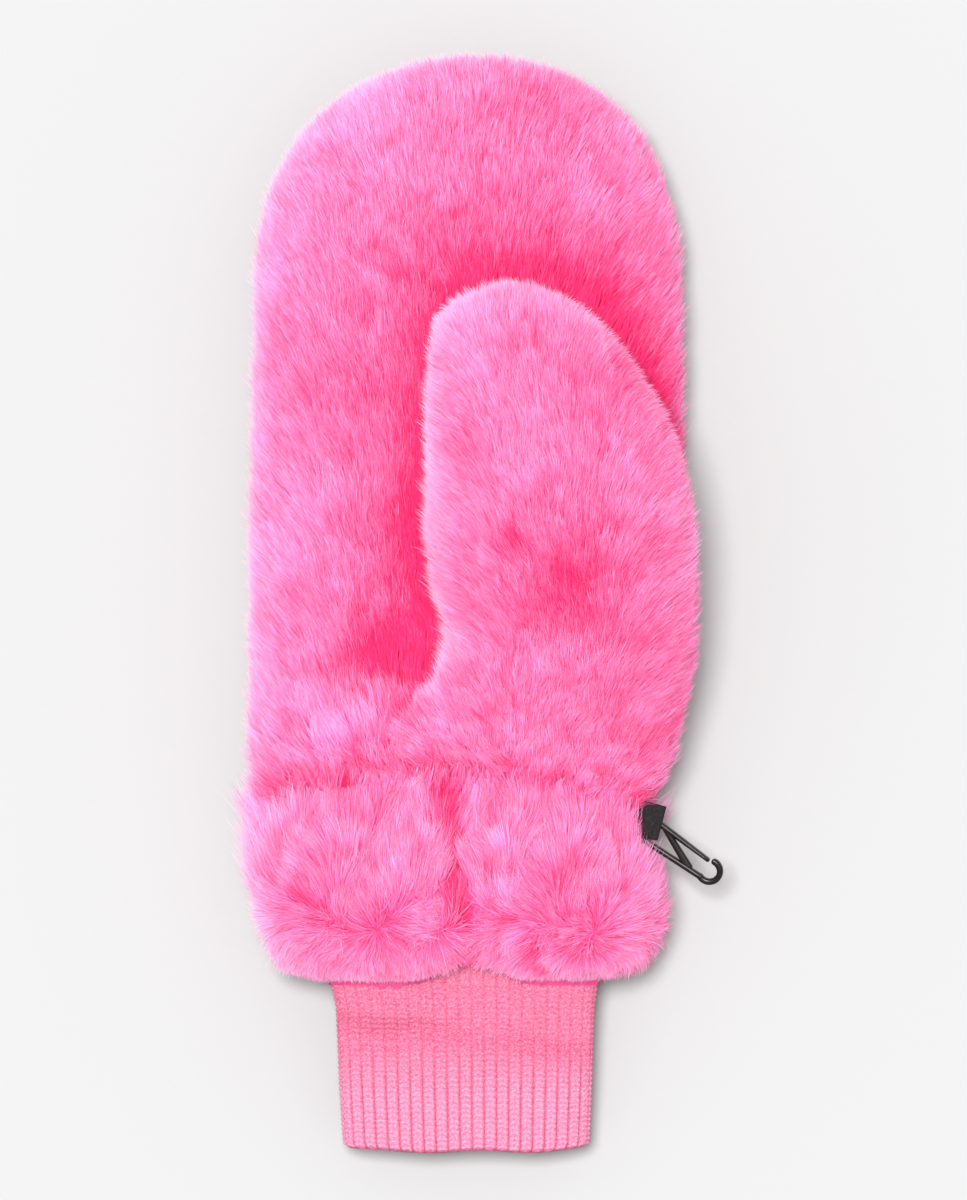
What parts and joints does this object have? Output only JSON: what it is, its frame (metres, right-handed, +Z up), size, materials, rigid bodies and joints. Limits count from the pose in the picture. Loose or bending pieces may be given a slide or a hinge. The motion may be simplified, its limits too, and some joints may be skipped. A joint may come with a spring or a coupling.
{
  "type": "ski mitten",
  "caption": "Right-hand pink deep-pile ski mitten with the thumb folded over the palm, gathered wrist, fur band, ribbed knit cuff, and a webbing loop with a plastic snap hook.",
  "frame": {"origin": "the middle of the bounding box, at the surface that the mitten lies on", "axes": "+X across the palm towards the thumb side, +Y from the cuff's hem to the finger tips, +Z up, out of the palm"},
  "size_m": [0.1354, 0.3128, 0.0769],
  "materials": {
    "pile": "matte",
    "knit": "matte",
    "webbing": "matte",
    "hook_plastic": "gloss"
  },
  "bodies": {
    "root": {"hand_back_fur": "pile", "hand_palm_fur": "pile", "thumb_fur": "pile", "gauntlet_fur": "pile", "rib_cuff": "knit", "strap_loop": "webbing", "snap_hook": "hook_plastic"}
  },
  "joints": []
}
